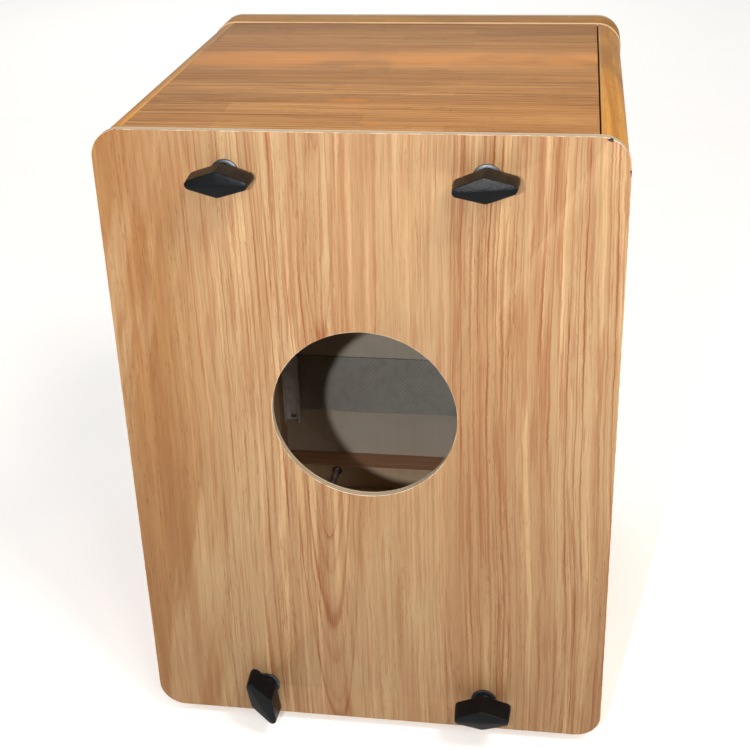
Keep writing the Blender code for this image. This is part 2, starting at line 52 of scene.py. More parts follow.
CORNERS = ("top_left", "top_right", "bottom_left", "bottom_right")
FEET = ("front_left", "front_right", "rear_left", "rear_right")
PANEL_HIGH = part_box("rear_panel")[1]
REAR_FACE = PANEL_HIGH[1]
BOX_HIGH_Z = PANEL_HIGH[2]
HALF_WIDTH = PANEL_HIGH[0]
TO_PLUS_Y = Matrix.Rotation(-math.pi / 2, 4, "X")
TO_MINUS_Y = Matrix.Rotation(math.pi / 2, 4, "X")
CARCASS = "carcass"
REAR_UNIT = "rear_unit"


def middle(node):
    low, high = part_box(node)
    return (Vector(low) + Vector(high)) / 2


# ---------------------------------------------------------------- material helpers


def srgb(red, green, blue):
    """A colour given as 0 to 255 screen values, as a linear colour with alpha."""
    linear = []
    for value in (red, green, blue):
        value /= 255
        linear.append(value / 12.92 if value <= 0.04045 else ((value + 0.055) / 1.055) ** 2.4)
    return (*linear, 1.0)


class Look:
    """A material's node tree, with short calls for the nodes that the looks below share."""

    def __init__(self, name):
        self.material = bpy.data.materials.new(name)
        self.material.use_nodes = True
        self.tree = self.material.node_tree
        self.shader = self.tree.nodes["Principled BSDF"]
        self.place = self.node("ShaderNodeTexCoord").outputs["Object"]

    def node(self, kind, **settings):
        made = self.tree.nodes.new(kind)
        for key, value in settings.items():
            setattr(made, key, value)
        return made

    def put(self, socket, value):
        if isinstance(value, bpy.types.NodeSocket):
            self.tree.links.new(value, socket)
        else:
            socket.default_value = value

    def set(self, name, value):
        self.put(self.shader.inputs[name], value)

    def math(self, operation, a, b=0.0, clamp=False):
        made = self.node("ShaderNodeMath", operation=operation, use_clamp=clamp)
        self.put(made.inputs[0], a)
        self.put(made.inputs[1], b)
        return made.outputs[0]

    def add(self, a, b):
        return self.math("ADD", a, b)

    def times(self, a, b):
        return self.math("MULTIPLY", a, b)

    def split(self, vector=None):
        made = self.node("ShaderNodeSeparateXYZ")
        self.put(made.inputs[0], vector or self.place)
        return made.outputs[0], made.outputs[1], made.outputs[2]

    def join(self, x, y, z):
        made = self.node("ShaderNodeCombineXYZ")
        for socket, value in zip(made.inputs, (x, y, z)):
            self.put(socket, value)
        return made.outputs[0]

    def spread(self, *parts):
        """A position for noise. A part is a number, a socket, (socket, scale) or (socket, scale, shift)."""
        made = []
        for part in parts:
            if isinstance(part, tuple):
                socket, scale, *shift = part
                part = self.times(socket, scale)
                if shift:
                    part = self.add(part, shift[0])
            made.append(part)
        return self.join(*made)

    def noise(self, vector, scale=1.0, detail=2.0, roughness=0.5, distortion=0.0):
        made = self.node("ShaderNodeTexNoise")
        self.put(made.inputs["Vector"], vector)
        self.put(made.inputs["Scale"], scale)
        self.put(made.inputs["Detail"], detail)
        self.put(made.inputs["Roughness"], roughness)
        self.put(made.inputs["Distortion"], distortion)
        return made.outputs[0]

    def grade(self, value, low, high, out_low=0.0, out_high=1.0):
        """A smooth step of value from low to high."""
        made = self.node("ShaderNodeMapRange", interpolation_type="SMOOTHSTEP")
        for socket, number in zip(made.inputs, (value, low, high, out_low, out_high)):
            self.put(socket, number)
        return made.outputs[0]

    def mix(self, factor, a, b, blend="MIX"):
        made = self.node("ShaderNodeMix", data_type="RGBA", blend_type=blend)
        self.put(made.inputs[0], factor)
        self.put(made.inputs[6], a)
        self.put(made.inputs[7], b)
        return made.outputs[2]

    def curve(self, value, stops, smooth=True):
        """A number read off a list of (position, number) points."""
        made = self.node("ShaderNodeValToRGB")
        ramp = made.color_ramp
        ramp.interpolation = "EASE" if smooth else "LINEAR"
        while len(ramp.elements) < len(stops):
            ramp.elements.new(0.5)
        for element, (position, number) in zip(ramp.elements, stops):
            element.position = position
            element.color = (number, number, number, 1.0)
        self.put(made.inputs[0], value)
        return made.outputs[0]

    def bump(self, height, strength, distance):
        made = self.node("ShaderNodeBump")
        self.put(made.inputs["Strength"], strength)
        self.put(made.inputs["Distance"], distance)
        self.put(made.inputs["Height"], height)
        self.set("Normal", made.outputs[0])


def grain_axes(look, along):
    """Object coordinates as (across the grain, along it, into the depth)."""
    x, y, z = look.split()
    return {"z": (x, z, y), "x": (y, x, z), "y": (x, y, z), "z_side": (y, z, x)}[along]


# Stops of (place within one ring, strength): a dark late-wood line that fades slowly and ends sharply,
# and a weaker line between two rings.
RING_LINE = [(0.0, 1.0), (0.05, 0.24), (0.12, 0.03), (0.66, 0.0), (0.84, 0.20), (0.94, 0.85), (1.0, 1.0)]
SECOND_LINE = [(0.0, 0.8), (0.10, 0.0), (0.62, 0.0), (0.97, 0.8)]
RING_JAG = 0.0011
PALE_STREAK_GAIN = 1.34


def wood(
    name, along, light, warm, dark, spacing=0.007, ring=0.6, seed=0.0, heart=None, wander=0.012, pores=0.5,
    roughness=0.45, specular=0.4, coat=0.0, relief=0.00006, zones=None, finish=None,
):
    """Wood whose rings show as thin ragged lines, with broad bands, fibres and short dark pores.

    heart is (across, along, slope): rings bend round that line as long cathedral arches. zones is
    (low, high, stops): how strong the lines are from one side to the other. finish(look, colour, axes)
    returns the colour with marks of its own.
    """
    look = Look(name)
    a, l, d = grain_axes(look, along)

    # u is the place across the grain, bent by slow and quick waves and by fine teeth.
    sway = look.noise(look.spread((a, 5.0), (l, 2.0, seed), (d, 5.0)), detail=1.0)
    ripple = look.noise(look.spread((a, 32.0), (l, 9.0, seed), (d, 12.0)))
    teeth = look.noise(look.spread((a, 75.0), (l, 210.0, seed), 0.0), detail=2.0, roughness=0.65)
    bend = look.times(look.add(sway, -0.5), wander * 3.2)
    shift = look.add(bend, look.times(look.add(ripple, -0.5), wander * 0.45))
    u = look.add(a, look.add(shift, look.times(look.add(teeth, -0.5), RING_JAG)))
    radius = u
    if heart:
        side = look.add(u, -heart[0])
        slope = look.times(look.add(l, -heart[1]), heart[2])
        radius = look.math("SQRT", look.add(look.times(side, side), look.times(slope, slope)))

    # Rings, unevenly spaced. lone fades some of them, and zone fades whole strips.
    uneven = look.noise(look.spread((radius, 40.0), seed, (l, 0.7)), detail=3.0)
    phase = look.add(look.times(radius, 1.0 / spacing), look.times(uneven, 4.6))
    lone = look.noise(look.spread((look.math("FLOOR", phase), 7.31), seed, (l, 4.0)), detail=1.0)
    lone = look.grade(lone, 0.36, 0.62, 0.12, 1.0)
    streak = look.curve(look.math("FRACT", phase), RING_LINE, False)
    second = look.math("FRACT", look.add(look.times(phase, 2.37), 0.31))
    second = look.times(look.curve(second, SECOND_LINE, False), 0.45)
    zone = look.noise(look.spread((u, 17.0), look.add(seed, 3.7), (l, 1.1)), detail=1.0)
    zone = look.grade(zone, 0.36, 0.62, 0.35, 1.0)
    if zones:
        low, high, stops = zones
        place = look.times(look.add(u, -low), 1.0 / (high - low))
        zone = look.times(look.curve(place, stops), look.add(look.times(zone, 0.4), 0.6))

    fine = look.noise(look.spread((u, 420.0), seed, (l, 11.0)), detail=3.0, roughness=0.65)
    broad = look.noise(look.spread((u, 46.0), look.add(seed, 9.1), (l, 1.5)), detail=2.0)
    fibre = look.noise(look.spread((a, 1400.0), seed, (l, 55.0)), detail=2.0, roughness=0.7)
    blotch = look.noise(look.spread((a, 11.0), look.add(seed, 1.3), (l, 5.0)), detail=3.0)
    pale = look.noise(look.spread((u, 165.0), look.add(seed, 4.4), (l, 3.0)), detail=2.0)
    dash = look.noise(look.spread((u, 1250.0), look.add(seed, 5.0), (l, 120.0)), detail=1.0)
    dash_zone = look.noise(look.spread((u, 70.0), seed, (l, 9.0)))
    pore = look.times(look.grade(dash, 0.60, 0.74), look.grade(dash_zone, 0.40, 0.62))
    pore = look.times(pore, pores)

    base = look.mix(look.grade(broad, 0.34, 0.66), light, warm)
    base = look.mix(look.grade(blotch, 0.45, 0.75, 0.0, 0.5), base, warm)
    bright = [min(1.0, channel * PALE_STREAK_GAIN) for channel in light[:3]] + [1.0]
    pale_share = look.times(look.grade(pale, 0.50, 0.66), look.add(look.times(zone, 0.6), 0.15))
    base = look.mix(pale_share, base, bright)
    lines = look.times(look.times(look.math("MAXIMUM", streak, second), lone), zone)
    streaks = look.times(look.grade(fine, 0.48, 0.62), look.add(look.times(zone, 0.35), 0.20))
    dark_share = look.add(look.times(lines, ring), look.times(streaks, ring))
    colour = look.mix(look.math("MINIMUM", dark_share, 1.0), base, dark)
    colour = look.mix(look.grade(fibre, 0.30, 0.75, 0.0, 0.26), colour, dark)
    colour = look.mix(pore, colour, [channel * 0.7 for channel in dark[:3]] + [1.0])
    if finish:
        colour = finish(look, colour, (a, l, d))
    look.set("Base Color", colour)

    rough = look.add(look.times(fibre, 0.16), roughness - 0.08)
    look.set("Roughness", look.add(rough, look.times(pore, 0.2)))
    look.set("Specular IOR Level", specular)
    look.set("Coat Weight", coat)
    look.set("Coat Roughness", 0.2)
    sunk = look.add(look.times(pore, 1.2), look.times(dark_share, 0.35))
    look.bump(look.math("SUBTRACT", look.times(fibre, 0.5), sunk), 0.5, relief)
    return look.material


# ---------------------------------------------------------------- the materials


def panel_figure_and_painted_shade(look, colour, axes):
    """Painted shade that makes the lower part of the panel a little darker and browner, and a calm side
    with broad, warm, leaning bands.
    """
    across, along, _ = axes
    # painted shade: the colour darkens towards the bottom of the panel, standing for the light falling off
    low = look.grade(along, 0.0, 0.40, 1.0, 0.0)
    colour = look.mix(low, colour, (0.70, 0.68, 0.64, 1.0), "MULTIPLY")
    side = look.grade(across, 0.080, 0.135)
    colour = look.mix(look.times(side, 0.7), colour, (0.96, 0.93, 0.88, 1.0), "MULTIPLY")
    lean = look.add(look.times(across, 22.0), look.times(along, 3.4))
    bands = look.noise(look.spread(lean, (along, 2.6), 3.1), detail=4.0, roughness=0.6)
    bands = look.times(look.grade(bands, 0.46, 0.56), look.add(look.times(side, 0.8), 0.2))
    return look.mix(bands, colour, (0.80, 0.66, 0.50, 1.0), "MULTIPLY")


def seat_finish(look, colour, axes):
    """Narrow glued strips whose ends are stepped along the grain, a brighter band and some stains."""
    across, along, _ = axes
    brick = look.node("ShaderNodeTexBrick", offset=0.37, offset_frequency=2, squash=1.0)
    look.put(brick.inputs["Vector"], look.join(along, across, 0.0))
    look.put(brick.inputs["Color1"], srgb(146, 96, 52))
    look.put(brick.inputs["Color2"], srgb(196, 140, 82))
    look.put(brick.inputs["Mortar"], srgb(110, 64, 34))
    look.put(brick.inputs["Scale"], 1.0)
    look.put(brick.inputs["Mortar Size"], 0.00018)
    look.put(brick.inputs["Mortar Smooth"], 0.6)
    look.put(brick.inputs["Brick Width"], 0.140)
    look.put(brick.inputs["Row Height"], 0.0205)
    colour = look.mix(0.30, colour, brick.outputs["Color"])
    far = look.grade(across, -0.150, -0.040, 1.0, 0.0)
    colour = look.mix(far, colour, (0.84, 0.80, 0.64, 1.0), "MULTIPLY")
    wave = look.noise(look.spread((along, 14.0), (across, 20.0), 8.1), detail=2.0)
    place = look.add(across, look.times(look.add(wave, -0.5), 0.030))
    band = look.times(look.grade(place, -0.058, -0.040), look.grade(place, -0.020, 0.004, 1.0, 0.0))
    broken = look.grade(look.noise(look.spread((along, 12.0), (across, 9.0), 5.5)), 0.40, 0.56)
    colour = look.mix(look.times(look.times(band, broken), 0.45), colour, srgb(222, 148, 76))
    stain = look.noise(look.spread((along, 26.0), (across, 60.0), 2.2), detail=2.0)
    return look.mix(look.grade(stain, 0.66, 0.78, 0.0, 0.4), colour, srgb(206, 124, 40))


def lacquer_finish(look, colour, axes):
    """Brown patches and amber stains under the lacquer, and a few pale scuffs."""
    across, along, depth = axes
    patch = look.noise(look.spread((across, 24.0), (along, 15.0), (depth, 24.0)), detail=3.0)
    colour = look.mix(look.grade(patch, 0.46, 0.62, 0.0, 0.45), colour, srgb(128, 86, 40))
    stain = look.noise(look.spread((across, 34.0), (along, 24.0), (depth, 34.0, 7.0)), detail=2.0)
    colour = look.mix(look.grade(stain, 0.58, 0.74, 0.0, 0.5), colour, srgb(208, 128, 38))
    scuff = look.noise(look.spread((across, 160.0), (along, 95.0), (depth, 160.0)))
    return look.mix(look.grade(scuff, 0.72, 0.80, 0.0, 0.5), colour, srgb(222, 190, 140))


PANEL_ZONES = (
    -HALF_WIDTH, HALF_WIDTH,
    [
        (0.0, 0.85), (0.29, 0.80), (0.345, 0.32), (0.42, 0.28),
        (0.50, 0.42), (0.58, 0.85), (0.82, 0.85), (0.88, 0.14),
    ],
)
LAMINATE = wood(
    "rear_laminate_look", "z", srgb(179, 151, 112), srgb(166, 131, 93), srgb(138, 80, 42),
    spacing=0.0050, ring=0.98, seed=2.4, heart=(0.022, 0.62, 0.05), wander=0.010, pores=0.4,
    roughness=0.46, specular=0.28, zones=PANEL_ZONES, finish=panel_figure_and_painted_shade,
)
SEAT = wood(
    "seat_look", "x", srgb(178, 134, 86), srgb(166, 118, 70), srgb(88, 54, 30),
    spacing=0.0034, ring=0.95, seed=7.7, wander=0.003, roughness=0.60, specular=0.08,
    finish=seat_finish,
)
SIDE = wood(
    "side_look", "z_side", srgb(188, 134, 84), srgb(172, 114, 66), srgb(104, 62, 34),
    spacing=0.0056, ring=0.75, seed=4.1, wander=0.006, roughness=0.46, specular=0.25,
)
STRIP = wood(
    "strip_look", "y", srgb(190, 138, 64), srgb(176, 120, 48), srgb(126, 78, 32),
    spacing=0.0060, ring=0.35, seed=1.9, wander=0.006, pores=0.3, roughness=0.50, specular=0.12,
    finish=lacquer_finish,
)
FRAME = wood(
    "frame_look", "x", srgb(166, 120, 54), srgb(142, 96, 38), srgb(110, 70, 28),
    spacing=0.0060, ring=0.30, seed=6.3, wander=0.004, pores=0.3, roughness=0.54, specular=0.08,
    finish=lacquer_finish,
)
STILE = wood(
    "stile_look", "z", srgb(166, 120, 54), srgb(142, 96, 38), srgb(110, 70, 28),
    spacing=0.0060, ring=0.30, seed=8.3, wander=0.004, pores=0.3, roughness=0.54, specular=0.08,
    finish=lacquer_finish,
)
TAPA = wood(
    "tapa_look", "z", srgb(208, 170, 126), srgb(196, 152, 106), srgb(150, 104, 64),
    spacing=0.012, ring=0.6, seed=3.3, heart=(-0.01, -0.25, 0.16), wander=0.012, roughness=0.38, coat=0.15,
)
TAPA_INSIDE = wood(
    "tapa_inside_look", "x", srgb(214, 207, 192), srgb(204, 194, 178), srgb(172, 156, 134),
    spacing=0.016, ring=0.30, seed=5.2, wander=0.010, roughness=0.6, pores=0.3,
)
RAW = wood(
    "raw_wood_look", "x", srgb(214, 188, 154), srgb(204, 172, 134), srgb(160, 122, 88),
    spacing=0.0065, ring=0.35, seed=9.4, wander=0.005, pores=0.12, roughness=0.65, relief=0.00012,
)
RAIL_INSIDE = wood(
    "rail_inside_look", "x", srgb(186, 142, 110), srgb(172, 124, 92), srgb(126, 84, 58),
    spacing=0.0065, ring=0.45, seed=10.4, wander=0.005, roughness=0.6,
)

PLY_PAIR = 0.0028


def ply_edge(name, into, face_at, dark_line=None, seed=0.0):
    """The cut edge of a board: plies of end grain and side grain in turn.

    into is the axis that leads from the face at face_at into the board. dark_line is (from, to), the depth
    of a dark glue line under the face.
    """
    look = Look(name)
    x, y, z = look.split()
    depth = look.math("ABSOLUTE", look.add({"y": y, "z": z}[into], -face_at))
    ply = look.math("FRACT", look.times(depth, 1.0 / PLY_PAIR))
    ply = look.grade(look.math("ABSOLUTE", look.add(ply, -0.5)), 0.22, 0.28)
    speck = look.noise(look.spread((x, 700.0), (y, 900.0), (z, 700.0, seed)), detail=3.0)
    colour = look.mix(ply, srgb(188, 172, 146), srgb(160, 142, 116))
    colour = look.mix(look.grade(speck, 0.5, 0.75, 0.0, 0.25), colour, srgb(120, 90, 60))
    if dark_line:
        start, end = dark_line
        starts = look.grade(depth, start, start + 0.0001)
        ends = look.grade(depth, end, end + 0.0002, 1.0, 0.0)
        colour = look.mix(look.times(look.times(starts, ends), 0.8), colour, srgb(84, 76, 74))
    look.set("Base Color", colour)
    look.set("Roughness", look.add(look.times(speck, 0.3), 0.5))
    look.bump(speck, 0.6, 0.00008)
    return look.material


def worn_arris(name):
    """The panel's sharp edge, rubbed to a pale line that breaks up here and there."""
    look = Look(name)
    wear = look.noise(look.place, scale=160.0, detail=3.0)
    colour = look.mix(look.grade(wear, 0.38, 0.60), srgb(186, 146, 106), srgb(224, 208, 184))
    look.set("Base Color", colour)
    look.set("Roughness", look.add(look.times(wear, 0.3), 0.45))
    return look.material


def moulded(name, colour, bright, roughness, grain, relief, specular=0.5):
    """Moulded plastic or rubber: a fine grain, and rubbed patches, a little lighter and smoother."""
    look = Look(name)
    fine = look.noise(look.place, scale=grain, detail=2.0)
    patch = look.noise(look.place, scale=90.0, detail=3.0)
    look.set("Base Color", look.mix(look.grade(patch, 0.42, 0.72, 0.0, 0.6), colour, bright))
    rough = look.add(look.times(fine, 0.22), roughness - 0.1)
    look.set("Roughness", look.math("SUBTRACT", rough, look.times(patch, 0.12)))
    look.set("Specular IOR Level", specular)
    look.bump(look.add(fine, look.times(patch, 0.4)), 0.55, relief)
    return look.material


def metal(name, colour, shade, roughness, scale, stretch=(1.0, 1.0, 1.0), metallic=1.0, weave=0.0):
    """Metal with brushing or plating streaks, and duller, darker patches.

    weave is the pitch of a faint chequer across X and Z, a painted shade for the crossings of woven wire.
    """
    look = Look(name)
    x, y, z = look.split()
    place = look.spread((x, stretch[0]), (y, stretch[1]), (z, stretch[2]))
    brush = look.noise(place, scale=scale, detail=3.0, roughness=0.6)
    dull = look.noise(look.place, scale=120.0, detail=2.0)
    tone = look.mix(look.grade(dull, 0.40, 0.70, 0.0, 0.8), colour, shade)
    if weave:
        turns = 2 * math.pi / weave
        across, up = (look.math("SINE", look.times(axis, turns)) for axis in (x, z))
        # painted shade: darker cells in a chequer, standing for the shade where the wires cross
        painted_weave_shade = look.grade(look.times(across, up), -0.4, 0.4, 0.0, 0.5)
        tone = look.mix(painted_weave_shade, tone, (0.62, 0.64, 0.64, 1.0), "MULTIPLY")
    look.set("Base Color", tone)
    look.set("Metallic", metallic)
    rough = look.add(look.times(dull, 0.12), roughness - 0.18)
    look.set("Roughness", look.add(look.times(brush, 0.25), rough))
    look.bump(brush, 0.4, 0.00003)
    return look.material


PANEL_EDGE = ply_edge("panel_edge_look", "y", REAR_FACE, (0.0004, 0.0010))
BOARD_EDGE = ply_edge("board_edge_look", "z", BOX_HIGH_Z, seed=4.0)
TAPA_EDGE = ply_edge("tapa_edge_look", "y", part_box("tapa")[0][1], seed=2.0)
ARRIS = worn_arris("panel_arris_look")
CHIP = moulded("chipped_core_look", srgb(56, 46, 44), srgb(96, 78, 66), 0.8, 900.0, 0.0002, 0.2)
PLASTIC = moulded("black_plastic_look", srgb(7, 9, 12), srgb(14, 17, 22), 0.36, 1700.0, 0.00022, 0.14)
RUBBER = moulded("black_rubber_look", srgb(32, 32, 32), srgb(58, 56, 54), 0.78, 1800.0, 0.00009)
ZINC = metal("zinc_look", srgb(196, 198, 202), srgb(130, 132, 136), 0.36, 260.0, (1.0, 6.0, 1.0))
WASHER = metal("washer_look", srgb(92, 95, 101), srgb(52, 54, 58), 0.42, 420.0, (1.0, 0.2, 1.0))
DARK_STEEL = metal("dark_steel_look", srgb(92, 92, 94), srgb(48, 48, 50), 0.48, 300.0)
BRASS = metal("brass_look", srgb(206, 160, 84), srgb(150, 108, 52), 0.34, 300.0)
# the wire's weave chequer is painted shade
WIRE = metal("wire_look", srgb(214, 218, 216), srgb(194, 198, 196), 0.46, 500.0, weave=0.0042)
# partly painted shade: the cut edge is a darker grey than the wires, and also stands for the shade along
# the mesh's top edge
SELVAGE_PARTLY_PAINTED_SHADE = metal("selvage_look", srgb(150, 152, 150), srgb(112, 114, 112), 0.5, 500.0)
# painted reflection: the snare clamps' channels get a near-white, barely metallic colour that stands for
# the bright reflections along them
CHANNEL_PAINTED_REFLECTION = metal(
    "channel_look", srgb(244, 245, 247), srgb(222, 224, 226), 0.40, 240.0, (6.0, 6.0, 0.4), metallic=0.1
)

# ---------------------------------------------------------------- mesh helpers


def mesh_from(bm, name, place=None):
    """Turn a bmesh into a mesh, moved into place first if one is given."""
    if place is not None:
        bmesh.ops.transform(bm, matrix=place, verts=bm.verts)
    mesh = bpy.data.meshes.new(name)
    bm.to_mesh(mesh)
    bm.free()
    return mesh


def new_piece(name, mesh, *materials):
    piece = bpy.data.objects.new(name, mesh)
    bpy.context.scene.collection.objects.link(piece)
    for material in materials:
        mesh.materials.append(material)
    return piece


def finish_piece(piece, body, slot, *replaced):
    """Let a piece ride with its body and stand for CAD nodes. slot is not used."""
    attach(piece, body)
    if replaced:
        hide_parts(*replaced)
    return piece


def applied(piece):
    """Put the evaluated mesh in place of the piece's own, with no modifiers left."""
    graph = bpy.context.evaluated_depsgraph_get()
    mesh = bpy.data.meshes.new_from_object(piece.evaluated_get(graph))
    piece.modifiers.clear()
    piece.data = mesh


def smooth(piece, degrees=32.0):
    piece.data.shade_smooth()
    piece.data.set_sharp_from_angle(angle=math.radians(degrees))


def bevel(piece, width, segments, degrees, material=-1):
    """Ease every edge sharper than an angle. The eased faces take a material index; -1 keeps their own."""
    ease = piece.modifiers.new("eased", "BEVEL")
    ease.width = width
    ease.segments = segments
    ease.limit_method = "ANGLE"
    ease.angle_limit = math.radians(degrees)
    ease.material = material
    applied(piece)


def cut_away(piece, bm, place, *materials):
    """Subtract a closed form from a piece. If the form has a material, the cut faces take it."""
    cutter = new_piece("cutter", mesh_from(bm, "cutter", place), *materials)
    cut = piece.modifiers.new("cut", "BOOLEAN")
    cut.operation = "DIFFERENCE"
    cut.solver = "EXACT"
    if materials:
        cut.material_mode = "TRANSFER"
    cut.object = cutter
    applied(piece)
    bpy.data.objects.remove(cutter)


BOARD_EDGE_ANGLE = 40.0
BOARD_SMOOTH_ANGLE = 24.0


def eased_copy(node, body, slot, materials, pick, ease, segments=3, arris_material=-1):
    """A CAD board with its edges eased. pick(normal) gives the index of each face's material."""
    mesh = nodes[node].data.copy()
    mesh.materials.clear()
    bm = bmesh.new()
    bm.from_mesh(mesh)
    bmesh.ops.remove_doubles(bm, verts=bm.verts, dist=1e-5)
    flat = math.radians(0.5)
    bmesh.ops.dissolve_limit(bm, angle_limit=flat, verts=bm.verts, edges=bm.edges)
    for face in bm.faces:
        face.material_index = pick(face.normal)
    bm.to_mesh(mesh)
    bm.free()
    piece = new_piece(f"{node}_wood", mesh, *materials)
    bevel(piece, ease, segments, BOARD_EDGE_ANGLE, arris_material)
    smooth(piece, BOARD_SMOOTH_ANGLE)
    return finish_piece(piece, body, slot, node)


def turned(name, profile, place, *materials, steps=48, ring=False):
    """A profile of (radius, height), down its outer side, turned about an axis and set in place."""
    bm = bmesh.new()
    rows = []
    for step in range(steps):
        angle = 2 * math.pi * step / steps
        rows.append([(r * math.cos(angle), r * math.sin(angle), h) for r, h in profile])
    verts = [[bm.verts.new(point) for point in row] for row in rows]
    count = len(profile)
    for step in range(steps):
        here, there = verts[step], verts[(step + 1) % steps]
        for i in range(count if ring else count - 1):
            j = (i + 1) % count
            bm.faces.new((here[i], here[j], there[j], there[i]))
    bmesh.ops.remove_doubles(bm, verts=bm.verts, dist=1e-7)
    bmesh.ops.recalc_face_normals(bm, faces=bm.faces)
    piece = new_piece(name, mesh_from(bm, name, place), *materials)
    smooth(piece)
    return piece


def at(point, turn):
    return Matrix.Translation(point) @ turn


# ---------------------------------------------------------------- boards


# Chips in the rear panel's edge: (place, half size, lean in degrees).
CHIPS = (
    ((-0.1475, REAR_FACE, BOX_HIGH_Z - 0.0016), (0.0042, 0.0018, 0.0026), 24),
    ((-HALF_WIDTH, REAR_FACE - 0.0002, BOX_HIGH_Z - 0.0215), (0.0017, 0.0022, 0.0052), 6),
    ((0.1435, REAR_FACE, BOX_HIGH_Z), (0.0020, 0.0009, 0.0012), 0),
)
ARRIS_WIDTH = 0.0005
SEAT_EASE = 0.00015
BOARD_EASE = 0.0004
STRIP_EASE = 0.0003
STILE_EASE = 0.0007
RAIL_EASE = 0.0012
CLEAT_EASE = 0.0008
TAPA_EASE = 0.0006
CLAMP_EASE = 0.0002


def outside_inside_edge(axis, sign):
    """A pick for a board: 0 on the face on the side of sign, 1 on the opposite face, 2 on the edges."""
    return lambda normal: 0 if normal[axis] * sign > 0.5 else 1 if normal[axis] * sign < -0.5 else 2


def one_material(normal):
    return 0


def rear_panel():
    """The sound-hole panel: laminate outside, plain ply inside, worn arrises and three small chips."""
    panel = eased_copy(
        "rear_panel", REAR_UNIT, "rear_laminate", (LAMINATE, RAW, PANEL_EDGE, ARRIS),
        outside_inside_edge(1, 1), ARRIS_WIDTH, segments=2, arris_material=3,
    )
    for point, size, lean in CHIPS:
        bm = bmesh.new()
        bmesh.ops.create_cone(bm, cap_ends=True, segments=3, radius1=0.25, radius2=1.1, depth=2.0)
        bmesh.ops.rotate(bm, cent=(0, 0, 0), matrix=TO_PLUS_Y.to_3x3(), verts=bm.verts)
        place = at(point, Matrix.Rotation(math.radians(lean), 4, "Y")) @ Matrix.Diagonal((*size, 1.0))
        cut_away(panel, bm, place, CHIP)
    smooth(panel, BOARD_SMOOTH_ANGLE)


def carcass_boards():
    wide = (SEAT, RAW, BOARD_EDGE)
    eased_copy("seat_panel", CARCASS, "seat_wood", wide, outside_inside_edge(2, 1), SEAT_EASE)
    eased_copy("base_panel", CARCASS, "side_wood", wide, outside_inside_edge(2, -1), BOARD_EASE)
    for side, sign in (("left", 1), ("right", -1)):
        eased_copy(
            f"front_stile_{side}", CARCASS, "frame_lacquer", (STILE, RAW),
            lambda n, sign=sign: 0 if n.x * sign > 0.5 else 1, STILE_EASE,
        )
        eased_copy(
            f"side_panel_{side}", CARCASS, "side_wood", (SIDE, RAW, BOARD_EDGE),
            outside_inside_edge(0, sign), BOARD_EASE,
        )
    for level, sign in (("top", 1), ("bottom", -1)):
        eased_copy(
            f"front_rail_{level}", CARCASS, "frame_lacquer", (FRAME, RAW, RAIL_INSIDE),
            lambda n, sign=sign: 2 if n.z * sign < -0.5 else 0 if abs(n.y) < 0.5 else 1, RAIL_EASE,
        )
        eased_copy(f"rear_cleat_{level}", REAR_UNIT, "raw_wood", (RAW,), one_material, CLEAT_EASE)
        for side in ("left", "right"):
            strip = f"corner_strip_{level}_{side}"
            eased_copy(strip, CARCASS, "frame_lacquer", (STRIP,), one_material, STRIP_EASE)
    eased_copy(
        "tapa", CARCASS, "tapa_wood", (TAPA, TAPA_INSIDE, TAPA_EDGE), outside_inside_edge(1, -1), TAPA_EASE
    )


# ---------------------------------------------------------------- knobs, washers, rods, inserts


KNOB_RINGS = (
    # (height over the panel, half length, half width)
    (0.0062, 0.0186, 0.0077),
    (0.0070, 0.0196, 0.0085),
    (0.0120, 0.0195, 0.0084),
    (0.0218, 0.0187, 0.0080),
)
RIDGE_SLOPE = 0.27
RIDGE_SOFTNESS = 0.0010
RIDGE_SHARES = (0.80, 0.62, 0.44, 0.26, 0.10)
TIP_FALL = 0.0007
CROWN_DROP = 0.0001


def lozenge(half_length, half_width, tip_radius=0.0031, waist_radius=0.0040, steps=64):
    """The outline round four circles: two at the tips and two, larger, at the waist."""
    circles = [((sign * (half_length - tip_radius), 0.0), tip_radius) for sign in (1, -1)]
    circles += [((0.0, sign * (half_width - waist_radius)), waist_radius) for sign in (1, -1)]
    outline = []
    for step in range(steps):
        angle = 2 * math.pi * step / steps
        out = (math.cos(angle), math.sin(angle))
        (x, y), radius = max(circles, key=lambda c: c[0][0] * out[0] + c[0][1] * out[1] + c[1])
        outline.append((x + radius * out[0], y + radius * out[1]))
    return outline


def knob_mesh(name, reach):
    """A lozenge grip: tapered sides and a low gable whose soft ridge runs from tip to tip."""
    bm = bmesh.new()
    rings = []
    for height, half_length, half_width in KNOB_RINGS:
        rings.append([bm.verts.new((x, y, height)) for x, y in lozenge(half_length, half_width)])
    rim = [vert.co.copy() for vert in rings[-1]]
    for share in RIDGE_SHARES:
        rings.append([bm.verts.new((point.x * share, point.y * share, 0.0)) for point in rim])
    for ring in rings[len(KNOB_RINGS) - 1:]:
        for vert in ring:
            x, y = vert.co.x, vert.co.y
            fall = RIDGE_SLOPE * (math.hypot(y, RIDGE_SOFTNESS) - RIDGE_SOFTNESS)
            vert.co.z = reach - CROWN_DROP - fall - TIP_FALL * (x / KNOB_RINGS[-1][1]) ** 2
    for low, high in zip(rings, rings[1:]):
        for i in range(len(low)):
            j = (i + 1) % len(low)
            bm.faces.new((low[i], low[j], high[j], high[i]))
    bm.faces.new(list(reversed(rings[0])))
    crown = bm.verts.new((0.0, 0.0, reach - CROWN_DROP))
    for i in range(len(rim)):
        bm.faces.new((rings[-1][i], rings[-1][(i + 1) % len(rim)], crown))
    bmesh.ops.recalc_face_normals(bm, faces=bm.faces)
    return mesh_from(bm, name)


